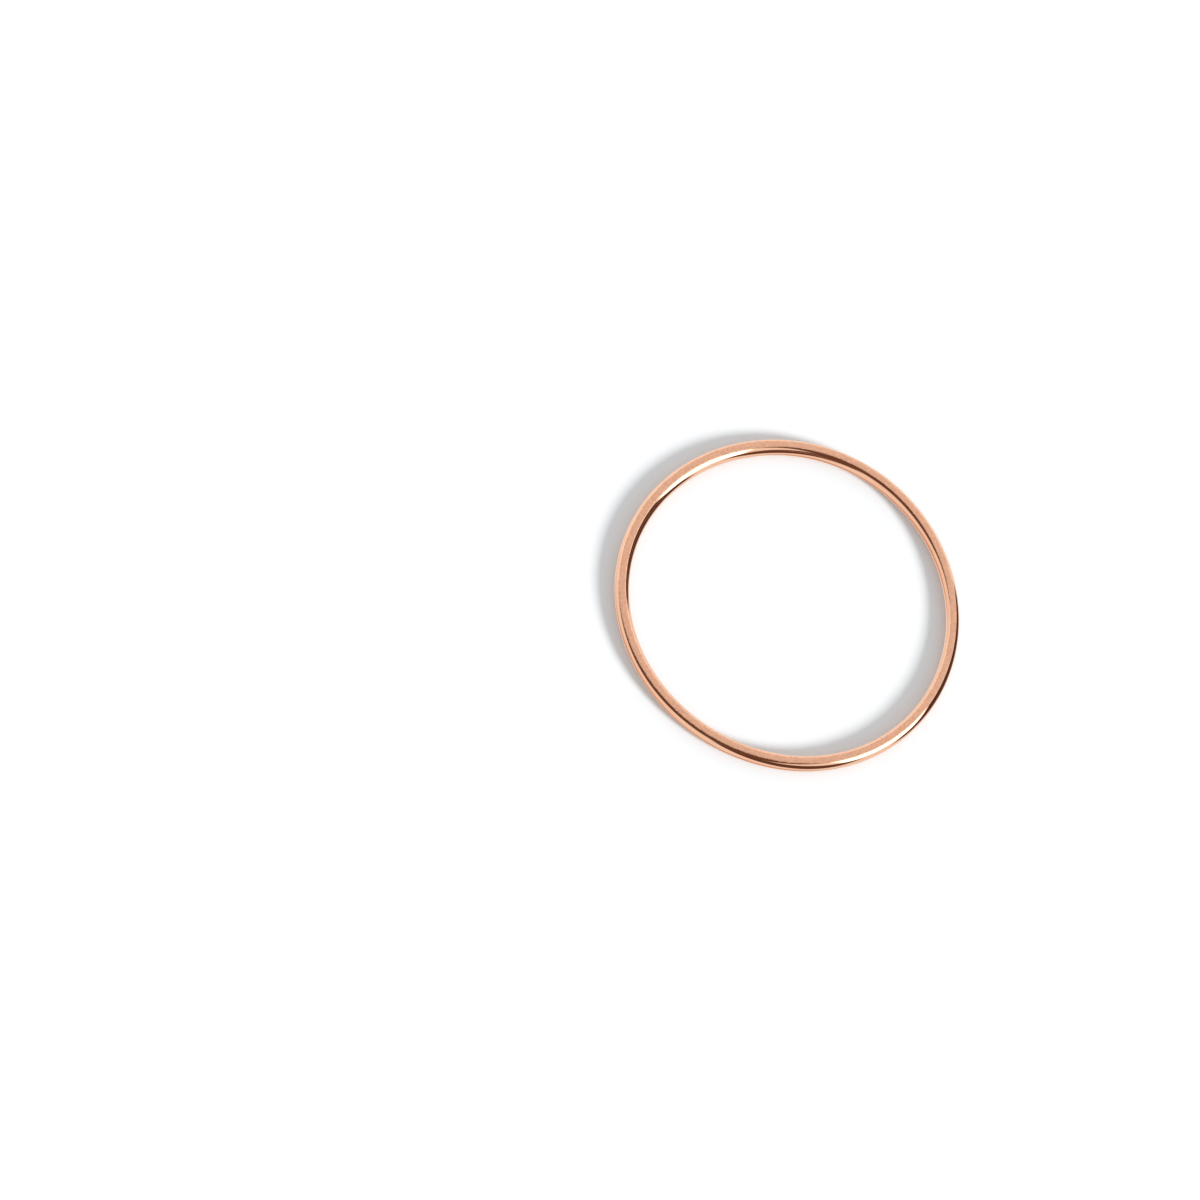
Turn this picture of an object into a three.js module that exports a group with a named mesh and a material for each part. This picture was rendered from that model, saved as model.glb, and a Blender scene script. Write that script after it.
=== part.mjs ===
import * as THREE from "three";

// Stackable ring: one closed band of rose gold, plain all round. Each side has a narrow flat, so that
// a stack of these rings sits close together. The walls towards the finger and away from it are rounded
// from one flat to the other.
// Frame, in millimetres: the origin is the middle of the lower side's plane, and +Z is the ring's axis.

// Finger hole across its narrowest place, half way up the band
const HOLE_DIAMETER = 17.3;
// Band from the finger hole to the outside
const BAND_THICKNESS = 0.75;
// Band along the finger, from one flat side to the other
const BAND_HEIGHT = 0.8;
// Flat on each side
const FLAT_WIDTH = 0.31;
// Facets around the ring, and across one rounded wall
const FACETS_AROUND = 96;
const FACETS_PER_WALL = 12;

const middleRadius = (HOLE_DIAMETER + BAND_THICKNESS) / 2;
const halfHeight = BAND_HEIGHT / 2;
const halfFlat = FLAT_WIDTH / 2;
const bulge = (BAND_THICKNESS - FLAT_WIDTH) / 2;

// The outer wall of the section is half an ellipse, from the lower flat's edge to the upper flat's edge.
// x is measured outwards from the middle of the band's thickness, and y up from the middle of its height.
const outerWall = [];
for (let i = 0; i <= FACETS_PER_WALL; i += 1) {
  const turn = (Math.PI * i) / FACETS_PER_WALL;
  const x = halfFlat + bulge * Math.sin(turn);
  const y = -halfHeight * Math.cos(turn);
  outerWall.push(new THREE.Vector2(x, y));
}

// The inner wall is the outer wall turned by half a turn, and the two flats are the straight runs
// between the walls. The section closes on its first point.
const innerWall = outerWall.map((point) => point.clone().negate());
const section = [...outerWall, ...innerWall, outerWall[0].clone()];
const placedSection = section.map(
  (point) => new THREE.Vector2(middleRadius + point.x, halfHeight + point.y),
);
const bandShape = new THREE.LatheGeometry(placedSection, FACETS_AROUND);

// The section was turned about Y, and the ring's axis is Z.
bandShape.rotateX(Math.PI / 2);

const roseGold = new THREE.MeshStandardMaterial({
  name: "rose_gold",
  color: 0xe3a886,
  roughness: 0.22,
  metalness: 1,
});

const band = new THREE.Mesh(bandShape, roseGold);
band.name = "ring_band";

const ring = new THREE.Group();
ring.name = "stackable_ring";
ring.add(band);

export default ring;
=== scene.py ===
import math

import bpy
from mathutils import Matrix, Vector


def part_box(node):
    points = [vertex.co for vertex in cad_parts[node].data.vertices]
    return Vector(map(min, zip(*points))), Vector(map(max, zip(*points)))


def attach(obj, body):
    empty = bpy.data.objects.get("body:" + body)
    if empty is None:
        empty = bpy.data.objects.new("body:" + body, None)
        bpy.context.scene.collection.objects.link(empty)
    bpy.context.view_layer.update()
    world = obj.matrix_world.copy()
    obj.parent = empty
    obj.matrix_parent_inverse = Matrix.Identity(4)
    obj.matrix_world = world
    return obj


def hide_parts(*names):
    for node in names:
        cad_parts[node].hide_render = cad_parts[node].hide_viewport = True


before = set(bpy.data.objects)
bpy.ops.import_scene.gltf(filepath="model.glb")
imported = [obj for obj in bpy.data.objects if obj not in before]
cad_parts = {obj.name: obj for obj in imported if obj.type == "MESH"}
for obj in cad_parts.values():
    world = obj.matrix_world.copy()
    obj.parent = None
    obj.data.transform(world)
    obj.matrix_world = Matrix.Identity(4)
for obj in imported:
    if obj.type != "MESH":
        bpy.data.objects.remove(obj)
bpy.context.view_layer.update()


# The band. One closed ring of rose gold, drawn as wire, bent round, soldered and polished. Its two
# sides are rubbed flat on fine abrasive paper, so they are satin, and its walls are mirror-polished.
# It is one piece of metal with nothing fixed to it.

MILLIMETRE = 0.001
BAND_THICKNESS = 0.75 * MILLIMETRE
FLAT_WIDTH = 0.31 * MILLIMETRE
# How far a flat reaches out on the section's unit circle, which crowns it very slightly
FLAT_SHARE = math.sin(math.radians(7.5))
# The hand-made ring is not quite round, and its band is not quite even
OUT_OF_ROUND = 0.044 * MILLIMETRE
OUT_OF_ROUND_LOBES = 3
OUT_OF_ROUND_TURN = math.radians(59.7)
SWELL = 0.05
SWELL_TURN = math.radians(152)
FLAT_LEAN = 0.08 * MILLIMETRE
FLAT_LEAN_TURN = math.radians(149.7)
# Nicks on the upper flat, dark ones with painted shade and bright ones with painted glints: degrees
# round the ring, and millimetres out from the band's middle
NICK_HALF_WIDTH = 0.045 * MILLIMETRE
NICK_HALF_LENGTH = 0.028 * MILLIMETRE
NICK_SOLID_PART = 0.3
SHADED_NICKS = ((112.7, 0.05), (178.7, -0.04))
GLINTING_NICKS = ((73.7, 0.08), (54.7, -0.07), (-64.8, 0.12))
# Colours of the metal, of the painted shade and painted glints in its nicks, and of the painted dark
# reflection along the flat's edges
SATIN_DARK = (0.66, 0.370, 0.245, 1.0)
SATIN_PALE = (0.86, 0.510, 0.350, 1.0)
WALL_DARK = (0.870, 0.520, 0.350, 1.0)
WALL_PALE = (0.900, 0.565, 0.395, 1.0)
NICK_SHADE_COLOUR = (0.24, 0.105, 0.065, 1.0)
NICK_GLINT_COLOUR = (1.0, 0.74, 0.56, 1.0)
EDGE_SHADE_COLOUR = (0.20, 0.090, 0.060, 1.0)
# Roughness at the smooth and at the rough end
SATIN_ROUGHNESS = (0.44, 0.58)
WALL_ROUGHNESS = (0.03, 0.07)
# Fineness of the grain: lines drawn along the band, mottling, clouding, ragged edge and painted dark
# edge reflection
LINES_PER_RADIAN = 14.0
LINES_ACROSS = 30.0 / MILLIMETRE
MOTTLE_SCALE = 7.0 / MILLIMETRE
CLOUD_SCALE = 0.9 / MILLIMETRE
RAGGED_SCALE = 11.0 / MILLIMETRE
EDGE_SHADE_SCALE = 5.0 / MILLIMETRE
# Most of a grain's values lie between these two
GRAIN_LOW = 0.3
GRAIN_HIGH = 0.7
# Where satin turns into polish, measured outward from the flat's edge, and how far that line wanders
POLISH_START = -0.005 * MILLIMETRE
POLISH_END = 0.008 * MILLIMETRE
EDGE_WANDER = 0.022 * MILLIMETRE
# How far the painted dark edge reflection reaches from the edge, the grain values where its patches
# come in, and its strongest share
EDGE_SHADE_REACH = 0.02 * MILLIMETRE
EDGE_SHADE_PATCHES = (0.48, 0.60)
EDGE_SHADE_COVER = 0.55
# Depth of the grain, and the share of it on the satin and on the polish
GRAIN_DEPTH = 0.004 * MILLIMETRE
SATIN_SHARE = 0.9
POLISH_SHARE = 0.05
FACES_AROUND = 720
FACES_ACROSS = 96

lowest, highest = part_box("ring_band")
band_height = highest[2] - lowest[2]
outer_radius = (highest[0] - lowest[0]) / 2
middle_radius = outer_radius - BAND_THICKNESS / 2


def put(tree, kind, **settings):
    """A new node of this kind, with its settings."""
    node = tree.nodes.new(kind)
    for name, value in settings.items():
        setattr(node, name, value)
    return node


def feed(tree, socket, value):
    """Gives a socket a number, a vector or another node's result."""
    if isinstance(value, bpy.types.NodeSocket):
        tree.links.new(value, socket)
    else:
        socket.default_value = value


def reckon(tree, operation, *values):
    """The result of one step of arithmetic on numbers."""
    node = put(tree, "ShaderNodeMath", operation=operation)
    for socket, value in zip(node.inputs, values):
        feed(tree, socket, value)
    return node.outputs[0]


def stretch(tree, value, low, high, to_low, to_high, smooth=False):
    """A number carried from one range to another, and held at the ends."""
    node = put(tree, "ShaderNodeMapRange", clamp=True)
    if smooth:
        node.interpolation_type = "SMOOTHSTEP"
    for name, given in (
        ("Value", value),
        ("From Min", low),
        ("From Max", high),
        ("To Min", to_low),
        ("To Max", to_high),
    ):
        feed(tree, node.inputs[name], given)
    return node.outputs["Result"]


def wave(tree, angle, lobes, turn):
    """A swell that comes round the ring a whole number of times."""
    from_crest = reckon(tree, "SUBTRACT", angle, turn)
    return reckon(tree, "COSINE", reckon(tree, "MULTIPLY", from_crest, lobes))


def remember(tree, geometry, name, kind, value):
    """Keeps a value on every point under this name."""
    node = put(tree, "GeometryNodeStoreNamedAttribute", data_type=kind, domain="POINT")
    tree.links.new(geometry, node.inputs["Geometry"])
    node.inputs["Name"].default_value = name
    feed(tree, node.inputs["Value"], value)
    return node.outputs["Geometry"]


def recall(tree, name, kind):
    """The value kept on every point under this name."""
    node = put(tree, "GeometryNodeInputNamedAttribute", data_type=kind)
    node.inputs["Name"].default_value = name
    return node.outputs["Attribute"]


def band_tree():
    """Nodes that carry the section round the finger hole."""
    tree = bpy.data.node_groups.new("stacking_band", "GeometryNodeTree")
    sizes = (
        ("Middle Radius", "NodeSocketFloat"),
        ("Height", "NodeSocketFloat"),
        ("Thickness", "NodeSocketFloat"),
        ("Flat Width", "NodeSocketFloat"),
        ("Out Of Round", "NodeSocketFloat"),
        ("Swell", "NodeSocketFloat"),
        ("Flat Lean", "NodeSocketFloat"),
        ("Faces Around", "NodeSocketInt"),
        ("Faces Across", "NodeSocketInt"),
        ("Metal", "NodeSocketMaterial"),
    )
    for name, kind in sizes:
        tree.interface.new_socket(name=name, in_out="INPUT", socket_type=kind)
    tree.interface.new_socket(name="Band", in_out="OUTPUT", socket_type="NodeSocketGeometry")
    given = put(tree, "NodeGroupInput").outputs

    # The two circles only say which way each point faces, and its place is worked out further down
    round_the_hole = put(tree, "GeometryNodeCurvePrimitiveCircle")
    tree.links.new(given["Faces Around"], round_the_hole.inputs["Resolution"])
    round_the_hole.inputs["Radius"].default_value = 1.0
    round_the_section = put(tree, "GeometryNodeCurvePrimitiveCircle")
    tree.links.new(given["Faces Across"], round_the_section.inputs["Resolution"])
    round_the_section.inputs["Radius"].default_value = 0.01
    place = put(tree, "GeometryNodeInputPosition").outputs["Position"]
    path = remember(tree, round_the_hole.outputs["Curve"], "outward", "FLOAT_VECTOR", place)
    facing = put(tree, "ShaderNodeVectorMath", operation="NORMALIZE")
    tree.links.new(place, facing.inputs[0])
    section = remember(
        tree, round_the_section.outputs["Curve"], "facing", "FLOAT_VECTOR", facing.outputs["Vector"]
    )
    swept = put(tree, "GeometryNodeCurveToMesh")
    tree.links.new(path, swept.inputs["Curve"])
    tree.links.new(section, swept.inputs["Profile Curve"])

    outward = recall(tree, "outward", "FLOAT_VECTOR")
    split = put(tree, "ShaderNodeSeparateXYZ")
    tree.links.new(outward, split.inputs[0])
    angle = reckon(tree, "ARCTAN2", split.outputs["Y"], split.outputs["X"])
    turned = put(tree, "ShaderNodeSeparateXYZ")
    tree.links.new(recall(tree, "facing", "FLOAT_VECTOR"), turned.inputs[0])
    sideways, upwards = turned.outputs["X"], turned.outputs["Y"]

    # Half the section's thickness is half a flat and then one rounded wall
    half_flat = reckon(tree, "MULTIPLY", given["Flat Width"], 0.5)
    half_thick = reckon(tree, "MULTIPLY", given["Thickness"], 0.5)
    bulge = reckon(tree, "SUBTRACT", half_thick, half_flat)
    reach = reckon(tree, "ABSOLUTE", sideways)
    along_flat = stretch(tree, reach, 0.0, FLAT_SHARE, 0.0, half_flat)
    past_flat = stretch(tree, reach, FLAT_SHARE, 1.0, 0.0, bulge)
    side = reckon(tree, "SIGN", sideways)
    across = reckon(tree, "MULTIPLY", reckon(tree, "ADD", along_flat, past_flat), side)
    swell = reckon(tree, "MULTIPLY", wave(tree, angle, 1, SWELL_TURN), given["Swell"])
    across = reckon(tree, "MULTIPLY_ADD", across, swell, across)
    lean = reckon(tree, "MULTIPLY", wave(tree, angle, 1, FLAT_LEAN_TURN), given["Flat Lean"])
    across = reckon(tree, "MULTIPLY_ADD", lean, upwards, across)
    lobes = wave(tree, angle, OUT_OF_ROUND_LOBES, OUT_OF_ROUND_TURN)
    radius = reckon(tree, "MULTIPLY_ADD", lobes, given["Out Of Round"], given["Middle Radius"])
    radius = reckon(tree, "ADD", radius, across)
    half_high = reckon(tree, "MULTIPLY", given["Height"], 0.5)
    height = reckon(tree, "MULTIPLY_ADD", upwards, half_high, half_high)

    ring_point = put(tree, "ShaderNodeVectorMath", operation="SCALE")
    tree.links.new(outward, ring_point.inputs[0])
    tree.links.new(radius, ring_point.inputs["Scale"])
    raised = put(tree, "ShaderNodeCombineXYZ")
    tree.links.new(height, raised.inputs["Z"])
    point = put(tree, "ShaderNodeVectorMath", operation="ADD")
    tree.links.new(ring_point.outputs["Vector"], point.inputs[0])
    tree.links.new(raised.outputs["Vector"], point.inputs[1])

    flat_distance = reckon(tree, "ADD", reckon(tree, "SUBTRACT", along_flat, half_flat), past_flat)
    faced_out = put(tree, "GeometryNodeFlipFaces")
    tree.links.new(swept.outputs["Mesh"], faced_out.inputs["Mesh"])
    marked = remember(tree, faced_out.outputs["Mesh"], "past_flat", "FLOAT", flat_distance)
    shaped = put(tree, "GeometryNodeSetPosition")
    tree.links.new(marked, shaped.inputs["Geometry"])
    tree.links.new(point.outputs["Vector"], shaped.inputs["Position"])
    smoothed = put(tree, "GeometryNodeSetShadeSmooth")
    tree.links.new(shaped.outputs["Geometry"], smoothed.inputs["Geometry"])
    whole = put(tree, "GeometryNodeRealizeInstances")
    tree.links.new(smoothed.outputs["Geometry"], whole.inputs["Geometry"])
    gilded = put(tree, "GeometryNodeSetMaterial")
    tree.links.new(whole.outputs["Geometry"], gilded.inputs["Geometry"])
    tree.links.new(given["Metal"], gilded.inputs["Material"])
    finished = put(tree, "NodeGroupOutput")
    tree.links.new(gilded.outputs["Geometry"], finished.inputs["Band"])
    return tree


def grain(tree, vector, scale, detail, rough=0.5, w=None):
    """Fine unevenness of the metal, as a number from 0 to 1."""
    node = put(tree, "ShaderNodeTexNoise", noise_dimensions="4D" if w is not None else "3D")
    tree.links.new(vector, node.inputs["Vector"])
    node.inputs["Scale"].default_value = scale
    node.inputs["Detail"].default_value = detail
    node.inputs["Roughness"].default_value = rough
    if w is not None:
        tree.links.new(w, node.inputs["W"])
    return node.outputs[0]


def blend_colour(tree, share, first, second):
    """Two colours mixed by a share. A mix node keeps its colours on inputs 6 and 7 and output 2."""
    node = put(tree, "ShaderNodeMix", data_type="RGBA")
    feed(tree, node.inputs[0], share)
    feed(tree, node.inputs[6], first)
    feed(tree, node.inputs[7], second)
    return node.outputs[2]


def measure(tree, vector, axis):
    """How far a vector goes along an axis."""
    node = put(tree, "ShaderNodeVectorMath", operation="DOT_PRODUCT")
    tree.links.new(vector, node.inputs[0])
    node.inputs[1].default_value = axis
    return node.outputs["Value"]


def nick(tree, place, turn, aside):
    """How far inside a small nick of the flat a point lies, from 0 outside to 1 in its middle."""
    out = measure(tree, place, (math.cos(turn), math.sin(turn), 0.0))
    out = reckon(tree, "SUBTRACT", out, middle_radius + aside)
    out = reckon(tree, "DIVIDE", out, NICK_HALF_WIDTH)
    along = measure(tree, place, (-math.sin(turn), math.cos(turn), 0.0))
    along = reckon(tree, "DIVIDE", along, NICK_HALF_LENGTH)
    reach = reckon(tree, "MULTIPLY_ADD", out, out, reckon(tree, "MULTIPLY", along, along))
    return stretch(tree, reach, NICK_SOLID_PART, 1.0, 1.0, 0.0, smooth=True)


def rose_gold():
    """14-carat rose gold: mirror-polished walls, satin flats, painted dark reflection along the edges
    between them, and painted shade and glints in nicks.
    """
    material = bpy.data.materials.new("rose_gold_band")
    material.use_nodes = True
    tree = material.node_tree
    metal = tree.nodes["Principled BSDF"]
    metal.inputs["Metallic"].default_value = 1.0

    place = put(tree, "ShaderNodeTexCoord").outputs["Object"]
    xyz = put(tree, "ShaderNodeSeparateXYZ")
    tree.links.new(place, xyz.inputs[0])
    east, north = xyz.outputs["X"], xyz.outputs["Y"]
    north_squared = reckon(tree, "MULTIPLY", north, north)
    across = reckon(tree, "SQRT", reckon(tree, "MULTIPLY_ADD", east, east, north_squared))
    # Lines that the polishing thread and the abrasive paper leave along the band
    drawn = put(tree, "ShaderNodeCombineXYZ")
    for name in ("X", "Y"):
        unit = reckon(tree, "DIVIDE", xyz.outputs[name], across)
        tree.links.new(reckon(tree, "MULTIPLY", unit, LINES_PER_RADIAN), drawn.inputs[name])
    tree.links.new(reckon(tree, "MULTIPLY", across, LINES_ACROSS), drawn.inputs["Z"])
    climb = reckon(tree, "MULTIPLY", xyz.outputs["Z"], LINES_ACROSS)
    lines = grain(tree, drawn.outputs["Vector"], 1.0, 2.0, 0.6, climb)

    mottle = grain(tree, place, MOTTLE_SCALE, 3.0, 0.6)
    cloud = grain(tree, place, CLOUD_SCALE, 2.0)
    ragged = grain(tree, place, RAGGED_SCALE, 2.0)

    mark = put(tree, "ShaderNodeAttribute", attribute_name="past_flat")
    edge_wander = stretch(tree, ragged, GRAIN_LOW, GRAIN_HIGH, -EDGE_WANDER, EDGE_WANDER)
    past = reckon(tree, "ADD", mark.outputs["Fac"], edge_wander)
    polish = stretch(tree, past, POLISH_START, POLISH_END, 0.0, 1.0, smooth=True)
    # Painted dark reflection, a painted shade, here and there along the flat's two edges
    at_edge = stretch(tree, reckon(tree, "ABSOLUTE", past), 0.0, EDGE_SHADE_REACH, 1.0, 0.0)
    patches = grain(tree, place, EDGE_SHADE_SCALE, 2.0)
    edge_shade_share = stretch(tree, patches, *EDGE_SHADE_PATCHES, 0.0, EDGE_SHADE_COVER)
    painted_edge_shade = reckon(tree, "MULTIPLY", at_edge, edge_shade_share)

    satin_shade = stretch(tree, mottle, GRAIN_LOW, GRAIN_HIGH, 0.0, 1.0)
    satin_colour = blend_colour(tree, satin_shade, SATIN_DARK, SATIN_PALE)
    # The nicks' painted shade and painted glints go no further down than the ring's upper half
    upper = stretch(tree, xyz.outputs["Z"], band_height * 0.5, band_height * 0.6, 0.0, 1.0)
    # Painted shade in the dark nicks
    for degrees, aside in SHADED_NICKS:
        inside = nick(tree, place, math.radians(degrees), aside * MILLIMETRE)
        inside = reckon(tree, "MULTIPLY", inside, upper)
        satin_colour = blend_colour(tree, inside, satin_colour, NICK_SHADE_COLOUR)
    # Painted glints on the bright nicks
    for degrees, aside in GLINTING_NICKS:
        inside = nick(tree, place, math.radians(degrees), aside * MILLIMETRE)
        inside = reckon(tree, "MULTIPLY", inside, upper)
        satin_colour = blend_colour(tree, inside, satin_colour, NICK_GLINT_COLOUR)
    wall_shade = stretch(tree, cloud, GRAIN_LOW, GRAIN_HIGH, 0.0, 1.0)
    wall_colour = blend_colour(tree, wall_shade, WALL_DARK, WALL_PALE)
    clean_colour = blend_colour(tree, polish, satin_colour, wall_colour)
    # The painted dark edge reflection laid over the metal's colour
    metal_colour = blend_colour(tree, painted_edge_shade, clean_colour, EDGE_SHADE_COLOUR)
    tree.links.new(metal_colour, metal.inputs["Base Color"])
    satin_rough = stretch(tree, mottle, 0.25, 0.75, *SATIN_ROUGHNESS)
    wall_rough = stretch(tree, lines, GRAIN_LOW, GRAIN_HIGH, *WALL_ROUGHNESS)
    smoother = reckon(tree, "SUBTRACT", wall_rough, satin_rough)
    rough = reckon(tree, "MULTIPLY_ADD", smoother, polish, satin_rough)
    tree.links.new(rough, metal.inputs["Roughness"])

    satin_depth = reckon(tree, "MULTIPLY", reckon(tree, "ADD", mottle, lines), SATIN_SHARE)
    wall_depth = reckon(tree, "MULTIPLY", lines, POLISH_SHARE)
    shallower = reckon(tree, "SUBTRACT", wall_depth, satin_depth)
    depth = reckon(tree, "MULTIPLY_ADD", shallower, polish, satin_depth)
    bump = put(tree, "ShaderNodeBump")
    bump.inputs["Strength"].default_value = 1.0
    bump.inputs["Distance"].default_value = GRAIN_DEPTH
    tree.links.new(depth, bump.inputs["Height"])
    tree.links.new(bump.outputs["Normal"], metal.inputs["Normal"])
    return material


band = bpy.data.objects.new("rose_gold_ring", bpy.data.meshes.new("rose_gold_ring"))
bpy.context.scene.collection.objects.link(band)
growth = band.modifiers.new("band", "NODES")
growth.node_group = band_tree()
band_sizes = {
    "Middle Radius": middle_radius,
    "Height": band_height,
    "Thickness": BAND_THICKNESS,
    "Flat Width": FLAT_WIDTH,
    "Out Of Round": OUT_OF_ROUND,
    "Swell": SWELL,
    "Flat Lean": FLAT_LEAN,
    "Faces Around": FACES_AROUND,
    "Faces Across": FACES_ACROSS,
    "Metal": rose_gold(),
}
for socket in growth.node_group.interface.items_tree:
    if socket.in_out == "INPUT":
        growth[socket.identifier] = band_sizes[socket.name]
grown = band.evaluated_get(bpy.context.evaluated_depsgraph_get())
band_mesh = bpy.data.meshes.new_from_object(grown)
band.modifiers.remove(growth)
band.data = band_mesh
band_mesh.name = "rose_gold_ring"

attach(band, "root")
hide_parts("ring_band")


# The camera. It looks down at the ring from above its near side, and a little past it, so that the
# ring lies to the right of the middle of the view. Its distances are in ring widths.

CAMERA_TILT = math.radians(25.9)
CAMERA_TURN = math.radians(239.7)
CAMERA_ROLL = math.radians(33.0)
LENS = 100.0
SENSOR = 36.0
VIEW_WIDTH = 3.395
RING_RIGHT = 0.536
RING_BELOW = 0.007

ring_middle = Vector((0.0, 0.0, band_height / 2))
back = Vector(
    (
        math.cos(CAMERA_TURN) * math.sin(CAMERA_TILT),
        math.sin(CAMERA_TURN) * math.sin(CAMERA_TILT),
        math.cos(CAMERA_TILT),
    )
)
level = Vector((-math.sin(CAMERA_TURN), math.cos(CAMERA_TURN), 0.0))
steep = back.cross(level)
view_right = level * math.cos(CAMERA_ROLL) + steep * math.sin(CAMERA_ROLL)
view_up = steep * math.cos(CAMERA_ROLL) - level * math.sin(CAMERA_ROLL)
ring_width = 2 * outer_radius
distance = VIEW_WIDTH * ring_width * LENS / SENSOR
aim = ring_middle - view_right * RING_RIGHT * ring_width + view_up * RING_BELOW * ring_width
station = ring_middle + back * distance
looking_back = (station - aim).normalized()
camera_right = (view_right - looking_back * view_right.dot(looking_back)).normalized()
camera_up = looking_back.cross(camera_right)

camera = bpy.data.objects.new("camera", bpy.data.cameras.new("camera"))
bpy.context.scene.collection.objects.link(camera)
camera.data.lens = LENS
camera.data.sensor_width = SENSOR
camera.data.clip_start = 0.001
camera.data.clip_end = 10.0
turned_camera = Matrix((camera_right, camera_up, looking_back)).transposed().to_4x4()
camera.matrix_world = Matrix.Translation(station) @ turned_camera
bpy.context.scene.camera = camera


# The floor. A sheet of matt white board under the ring, far wider than the view. The polished metal
# doesn't show it.

FLOOR_HALF = 2.0
BOARD_COLOUR = (0.895, 0.905, 0.910, 1.0)
floor_mesh = bpy.data.meshes.new("floor")
floor_mesh.from_pydata(
    [
        (-FLOOR_HALF, -FLOOR_HALF, 0.0),
        (FLOOR_HALF, -FLOOR_HALF, 0.0),
        (FLOOR_HALF, FLOOR_HALF, 0.0),
        (-FLOOR_HALF, FLOOR_HALF, 0.0),
    ],
    [],
    [(0, 1, 2, 3)],
)
floor = bpy.data.objects.new("floor", floor_mesh)
bpy.context.scene.collection.objects.link(floor)
board = bpy.data.materials.new("white_board")
board.use_nodes = True
board_shader = board.node_tree.nodes["Principled BSDF"]
board_shader.inputs["Base Color"].default_value = BOARD_COLOUR
board_shader.inputs["Roughness"].default_value = 1.0
board_shader.inputs["Specular IOR Level"].default_value = 0.0
floor_mesh.materials.append(board)
floor.visible_glossy = False


# The studio. One soft lamp stands to the lower right of the view, and the floor gets an even light from
# all round besides. The metal shows a room of its own: pale, with three dark stretches, a lit panel, a
# fill panel and, low on the left, a warm panel like the light of other gold.

KEY_STRENGTH = 3.05
KEY_SOFTNESS = math.radians(16)
KEY_TURN = math.radians(-35)
KEY_TILT = math.radians(60)
# The colours that the metal shows, then the even light on the floor and the white behind everything
PALE_ROOM = (1.0, 0.97, 0.95, 1.0)
FILL_LIGHT = (1.20, 1.17, 1.15, 1.0)
WARM_LIGHT = (0.74, 0.47, 0.34, 1.0)
DARK_ABOVE = (0.16, 0.085, 0.060, 1.0)
DARK_BELOW = (0.135, 0.066, 0.046, 1.0)
DARK_RIGHT = (0.10, 0.050, 0.040, 1.0)
LIT_PANEL = (3.4, 3.4, 3.4, 1.0)
FLOOR_LIGHT = (0.655, 0.67, 0.68, 1.0)
WHITE = (1.0, 1.0, 1.0, 1.0)
# The higher this power, the squarer a panel's corners
CORNER_POWER = 4.0

key = bpy.data.objects.new("key_lamp", bpy.data.lights.new("key_lamp", "SUN"))
bpy.context.scene.collection.objects.link(key)
key.data.energy = KEY_STRENGTH
key.data.angle = KEY_SOFTNESS
key_way = Vector(
    (
        math.cos(KEY_TURN) * math.sin(KEY_TILT),
        math.sin(KEY_TURN) * math.sin(KEY_TILT),
        math.cos(KEY_TILT),
    )
)
key.rotation_euler = key_way.to_track_quat("Z", "Y").to_euler()
key.visible_glossy = False

world = bpy.data.worlds.new("studio")
bpy.context.scene.world = world
world.use_nodes = True
room = world.node_tree
room.nodes.clear()
direction = put(room, "ShaderNodeTexCoord").outputs["Generated"]


def towards(from_camera, clockwise):
    """The direction so many degrees from the camera's, turned clockwise from the view's right."""
    tilt = math.radians(from_camera)
    turn = math.radians(clockwise)
    sideways = view_right * math.cos(turn) - view_up * math.sin(turn)
    return back * math.cos(tilt) + sideways * math.sin(tilt)


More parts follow.
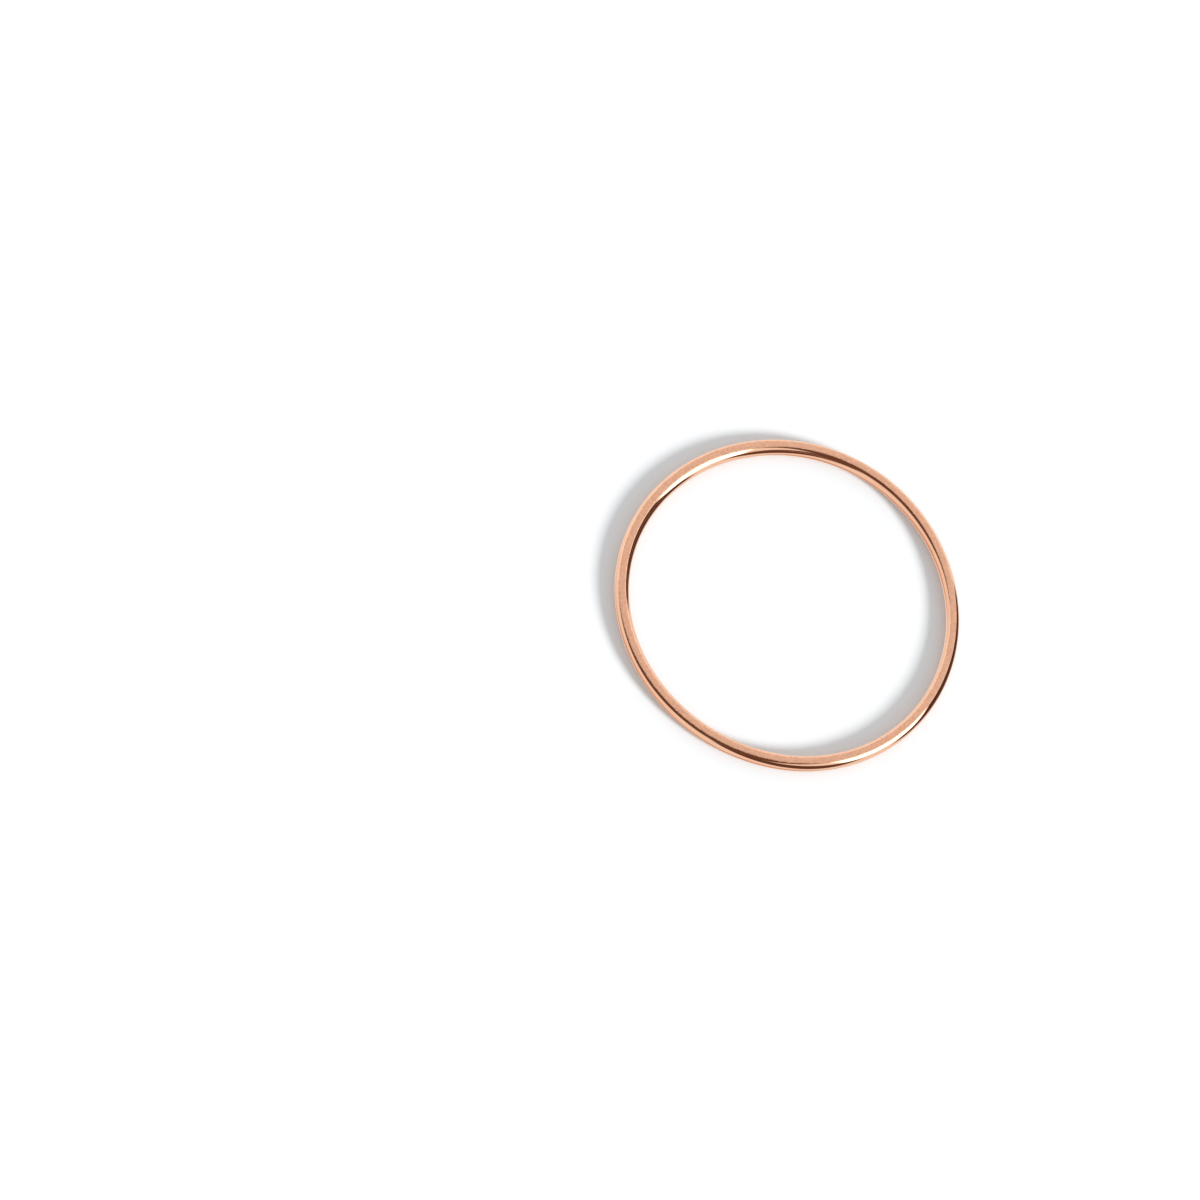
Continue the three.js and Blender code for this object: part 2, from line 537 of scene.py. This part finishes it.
def panel(middle, end, half_long, half_wide, soft):
    """How far inside a round-cornered panel of the room a direction is, from 0 outside to 1 inside.

    The panel's middle and the end it runs towards are directions, and its half sizes are degrees.
    """
    middle = towards(*middle)
    end = towards(*end)
    along = (end - middle * end.dot(middle)).normalized()
    over = middle.cross(along)

    forward = measure(room, direction, middle)
    long_way = reckon(room, "ARCTAN2", measure(room, direction, along), forward)
    long_share = reckon(room, "DIVIDE", long_way, math.radians(half_long))
    long_part = reckon(room, "POWER", reckon(room, "ABSOLUTE", long_share), CORNER_POWER)
    wide_way = reckon(room, "ARCSINE", measure(room, direction, over))
    wide_share = reckon(room, "DIVIDE", wide_way, math.radians(half_wide))
    wide_part = reckon(room, "POWER", reckon(room, "ABSOLUTE", wide_share), CORNER_POWER)
    total = reckon(room, "ADD", long_part, wide_part)
    reach = reckon(room, "POWER", total, 1.0 / CORNER_POWER)
    return stretch(room, reach, 1.0 - soft, 1.0 + soft, 1.0, 0.0, smooth=True)


dark_right = panel(middle=(104, 4), end=(158, 86), half_long=36, half_wide=27, soft=0.10)
dark_below = panel(middle=(75, 81), end=(130, -176), half_long=20, half_wide=36, soft=0.10)
dark_above = panel(middle=(13, 156), end=(7, -115), half_long=41, half_wide=40, soft=0.12)
lit = panel(middle=(70, 24), end=(144, 128), half_long=27, half_wide=20, soft=0.10)
fill = panel(middle=(75, -75), end=(75, -10), half_long=60, half_wide=32, soft=0.5)
warm_side = panel(middle=(138, 137), end=(138, 105), half_long=38, half_wide=18, soft=0.4)
shown = blend_colour(room, fill, PALE_ROOM, FILL_LIGHT)
shown = blend_colour(room, warm_side, shown, WARM_LIGHT)
shown = blend_colour(room, dark_above, shown, DARK_ABOVE)
shown = blend_colour(room, dark_below, shown, DARK_BELOW)
shown = blend_colour(room, dark_right, shown, DARK_RIGHT)
shown = blend_colour(room, lit, shown, LIT_PANEL)
paths = put(room, "ShaderNodeLightPath")
plain = blend_colour(room, paths.outputs["Is Camera Ray"], FLOOR_LIGHT, WHITE)
seen = blend_colour(room, paths.outputs["Is Glossy Ray"], plain, shown)
lamp = put(room, "ShaderNodeBackground")
room.links.new(seen, lamp.inputs["Color"])
all_round = put(room, "ShaderNodeOutputWorld")
room.links.new(lamp.outputs["Background"], all_round.inputs["Surface"])

bpy.context.scene.view_settings.view_transform = "Standard"
bpy.context.scene.view_settings.look = "None"
